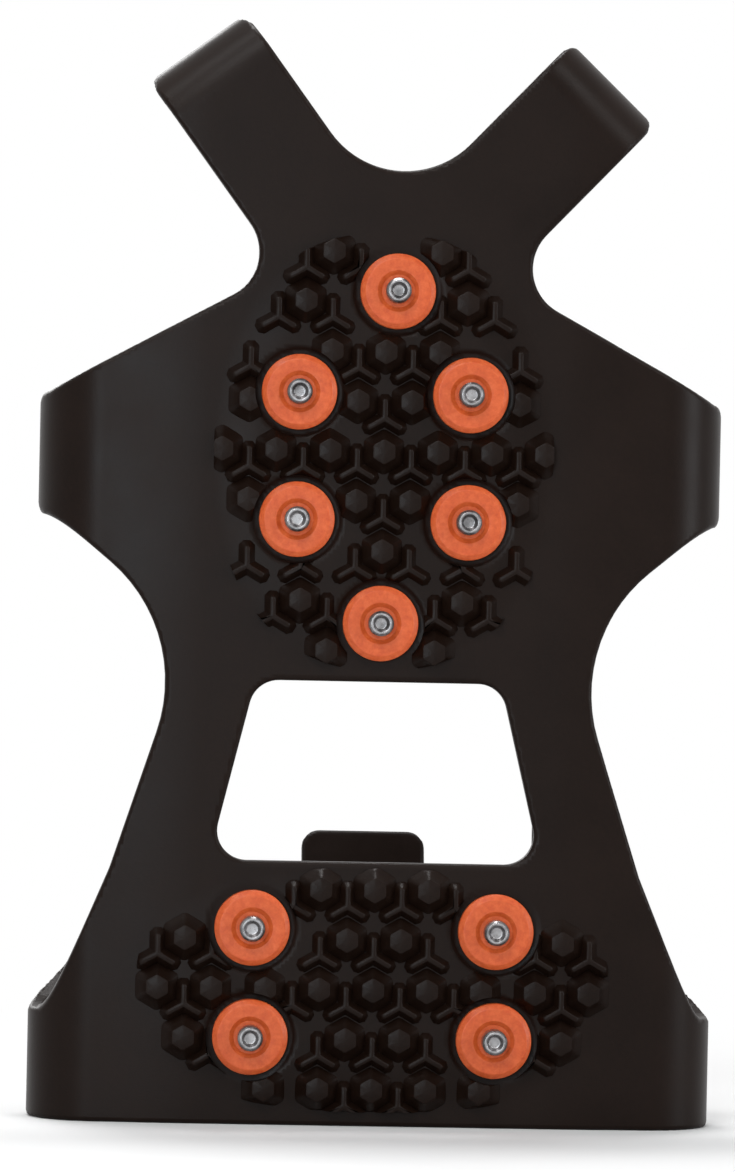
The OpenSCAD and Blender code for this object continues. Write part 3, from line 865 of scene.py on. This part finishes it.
def makeTread(name, zone, stoodFor):
    points, faces, counts = [], [], [0, 0]
    kinds = ((lug, hexagon, lugRings, 0), (rib, threeArms, ribRings, lug["rowStep"] * 2 / 3))
    rows, columns = math.ceil(zone[2] / lug["rowStep"]), math.ceil(zone[1] / lug["pitch"]) + 1
    for j in range(-rows, rows + 1):
        for i in range(-columns, columns + 1):
            x = (i + (0.5 if j % 2 else 0)) * lug["pitch"]
            for k, (sizes, shape, rings, up) in enumerate(kinds):
                z = zone[0] + j * lug["rowStep"] + up
                tooFar = zoneShare(zone, x, z) >= sizes["zoneLimit"]
                if tooFar or studGapAt(x, z) <= ringRoom + sizes["studRoom"]:
                    continue
                loops = [keepInZone(shape(*size) + (x, z), zone) for *size, _ in rings]
                more, skins = stack(loops, [height for *_, height in rings])
                faces += [tuple(v + len(points) for v in f) for f in skins]
                points += more
                counts[k] += 1
    piece = newPiece(name, points, faces)
    piece.data.set_sharp_from_angle(angle=math.radians(lug["sharpAngle"]))
    piece.data.materials.append(lugRubber)
    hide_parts(stoodFor)
    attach(piece, "sole_body")
    print("%s: %d lugs, %d ribs" % (name, *counts))


for part, zone in pad["zones"].items():
    makeTread(part + "_lugs", zone, part + "_tread")


# orange discs and steel studs, turned on a lathe

disc = {
    "radius": discRound,
    "thick": 2.6,
    "boreRound": 1.95,
    "dish": 0.5,
    "dishRound": 3.85,
    "seatRound": 3.05,  # floor of the dish
    "shoulderIn": 0.95,
    "shoulderDrop": 0.75,
    "rounding": (0.25, 0.3, 0.5, 0.35),  # floor, edge of the dish, shoulder's top and foot
    "clear": 0.02,  # between disc and web
    "segments": 72,
}
stud = {
    "tipRound": 2.35,
    "tipHeight": 3.2,
    "shankRound": 1.9,
    "headThick": 1,
    "headDepth": 1.9,
    "headRounding": (0.35, 0.1),
    "shoulderIn": 0.45,
    "shoulderDrop": 0.55,
    "lipIn": 0.8,
    "cup": 1.1,
    "cupShare": 0.45,  # the cup's floor against the tip
    "rounding": (0.4, 0.18, 0.15, 0.3),  # shoulder's foot and top, lip, floor of the cup
    "axis": 0.001,  # smallest radius
    "segments": 56,
}


def roundProfile(corners):  # corners as (radius, height, rounding)
    points = []
    for i, (r, h, k) in enumerate(corners):
        if k and 0 < i < len(corners) - 1:
            points += roundedCorner(corners[i - 1][:2], (r, h), corners[i + 1][:2], k)
        else:
            points.append(np.array((r, h)))
    return points


def discProfile():
    top, r = disc["thick"], disc["radius"]
    floor = top - disc["dish"]
    a, b, c, d = disc["rounding"]
    return roundProfile([
        (disc["boreRound"], floor, 0), (disc["seatRound"], floor, a), (disc["dishRound"], top, b),
        (r - disc["shoulderIn"], top, c), (r, top - disc["shoulderDrop"], d), (r, disc["clear"], 0),
    ])[::-1]


def studProfile():
    seat, top = disc["thick"] - disc["dish"], disc["thick"] + stud["tipHeight"]
    tip, shank, axis = stud["tipRound"], stud["shankRound"], stud["axis"]
    neck = -stud["headDepth"]
    back = neck - stud["headThick"]
    floor = top - stud["cup"]
    rear, front = stud["headRounding"]
    a, b, c, d = stud["rounding"]
    return roundProfile([
        (axis, back, 0), (headRound, back, rear), (headRound, neck, front), (shank, neck, 0),
        (shank, seat, 0), (tip, seat, 0), (tip, top - stud["shoulderDrop"], a),
        (tip - stud["shoulderIn"], top, b), (tip - stud["lipIn"], top, c),
        (tip * stud["cupShare"], floor, d), (axis, floor, 0),
    ])


def lathe(name, profile, place, segments):  # heights stand on the web's ground face, towards the ground
    turn = np.linspace(0, 2 * math.pi, segments, endpoint=False)
    points = []
    for r, h in profile:
        points += [(place[0] + r * math.cos(a), groundFace - h, place[1] + r * math.sin(a)) for a in turn]
    return newPiece(name, points, ringFaces(len(profile), segments))


for number, place in enumerate(studPlaces, 1):
    piece = lathe("disc_%02d" % number, discProfile(), place, disc["segments"])
    piece.data.materials.append(orange)
    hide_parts("stud_disc_%02d" % number)
    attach(piece, "sole_body")

    piece = lathe("stud_%02d" % number, studProfile(), place, stud["segments"])
    piece.data.materials.append(steel)
    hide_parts("stud_pin_%02d" % number)
    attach(piece, "sole_body")
print("studs turned")


# floor, light and camera

stage = {
    "floorHalf": 6,  # metres
    "floorColour": (0.76, 0.76, 0.76),
    "floorRough": 0.9,
    "floorSpecular": 0.1,
    "glow": 0.04,  # share of plain white in the floor at the cleat
    "glowFrom": 0.07,  # metres between which it grows to 1
    "glowTo": 0.26,
    "worldLight": 0.18,
}
lamps = {  # place, target and size in millimetres, watts, colour
    "key upper left": ((-260, -780, 820), (0, 0, 100), (320, 320), 3.8, (1, 1, 1)),
    "toe soft box": ((-420, -280, 760), (-40, 0, 190), (200, 200), 1.1, (1, 1, 1)),
    "left soft box": ((-245, -900, 170), (-30, 0, 100), (200, 340), 2.3, (0.82, 0.93, 1)),
    "right soft box": ((850, -380, 140), (50, 0, 90), (280, 560), 3.6, (0.93, 0.97, 1)),
    "upper right soft box": ((520, -500, 640), (40, 0, 180), (280, 280), 1.4, (1, 1, 1)),
    "top soft box": ((-40, 150, 820), (0, 0, 0), (420, 140), 4.8, (1, 1, 1)),
    "back soft box": ((-420, 850, 520), (0, 40, 100), (500, 400), 3.2, (1, 1, 1)),
}
view = {
    "x": -2.5,
    "z": 100.3,
    "distance": 1000,
    "frameHeight": 217.4,
    "roll": 1.2,
    "turn": 2.4,
    "sensor": 36,
    "clip": (0.01, 50),  # metres
}


def addLamp(name, place, target, size, power, colour):
    data = bpy.data.lights.new(name, "AREA")
    data.shape = "RECTANGLE"
    data.size, data.size_y = size[0] * mm, size[1] * mm
    data.energy = power
    data.color = colour
    lamp = addObject(name, data)
    place, target = Vector(place) * mm, Vector(target) * mm
    lamp.location = place
    lamp.rotation_euler = (target - place).to_track_quat("-Z", "Y").to_euler()


def seenDirectly(nodes, links):  # 1 for rays from the camera, from gloss and through glass
    path = nodes.new("ShaderNodeLightPath")
    seen = path.outputs["Is Camera Ray"]
    for ray in ("Is Glossy Ray", "Is Transmission Ray"):
        seen = addMath(nodes, links, "MAXIMUM", seen, path.outputs[ray])
    return seen


def makeFloor():
    half = stage["floorHalf"]
    mesh = bpy.data.meshes.new("floor")
    verts = [(-half, -half, 0), (half, -half, 0), (half, half, 0), (-half, half, 0)]
    mesh.from_pydata(verts, [], [(0, 1, 2, 3)])
    floor = addObject("floor", mesh)
    made, nodes, links, shader = newMaterial("pale floor")
    shader.inputs["Base Color"].default_value = (*stage["floorColour"], 1)
    shader.inputs["Roughness"].default_value = stage["floorRough"]
    shader.inputs["Specular IOR Level"].default_value = stage["floorSpecular"]
    glow = nodes.new("ShaderNodeEmission")
    place = nodes.new("ShaderNodeTexCoord")
    far = nodes.new("ShaderNodeVectorMath")
    far.operation = "LENGTH"
    links.new(place.outputs["Object"], far.inputs[0])
    spread = nodes.new("ShaderNodeMapRange")  # the shadow stays near the object, the far floor is plain white
    spread.interpolation_type = "SMOOTHSTEP"
    spread.inputs["From Min"].default_value = stage["glowFrom"]
    spread.inputs["From Max"].default_value = stage["glowTo"]
    spread.inputs["To Min"].default_value = stage["glow"]
    links.new(far.outputs["Value"], spread.inputs["Value"])
    share = addMath(nodes, links, "MULTIPLY", seenDirectly(nodes, links), spread.outputs["Result"])
    mixed = addMix(nodes, links, share, shader.outputs[0], glow.outputs[0])
    links.new(mixed, nodes["Material Output"].inputs["Surface"])
    mesh.materials.append(made)


def makeWorld():
    world = bpy.data.worlds.new("studio")
    bpy.context.scene.world = world
    world.use_nodes = True
    nodes, links = world.node_tree.nodes, world.node_tree.links
    light = nodes["Background"]
    light.inputs["Strength"].default_value = stage["worldLight"]
    light.inputs["Color"].default_value = (1, 1, 1, 1)
    white = nodes.new("ShaderNodeBackground")
    white.inputs["Color"].default_value = (1, 1, 1, 1)
    mixed = addMix(nodes, links, seenDirectly(nodes, links), light.outputs[0], white.outputs[0])
    links.new(mixed, nodes["World Output"].inputs["Surface"])


def makeCamera():
    data = bpy.data.cameras.new("camera")
    data.sensor_width = view["sensor"]
    data.lens = view["sensor"] * view["distance"] / view["frameHeight"]
    data.clip_start, data.clip_end = view["clip"]
    camera = addObject("camera", data)
    camera.matrix_world = (
        Matrix.Translation(Vector((view["x"], groundFace, view["z"])) * mm)
        @ Matrix.Rotation(math.radians(-view["turn"]), 4, "Z")
        @ Matrix.Translation((0, -view["distance"] * mm, 0))
        @ Matrix.Rotation(math.radians(90), 4, "X")
        @ Matrix.Rotation(math.radians(view["roll"]), 4, "Z")
    )
    bpy.context.scene.camera = camera


makeFloor()
makeWorld()
for name, lamp in lamps.items():
    addLamp(name, *lamp)
makeCamera()
bpy.context.scene.view_settings.view_transform = "Standard"
print("stage set")
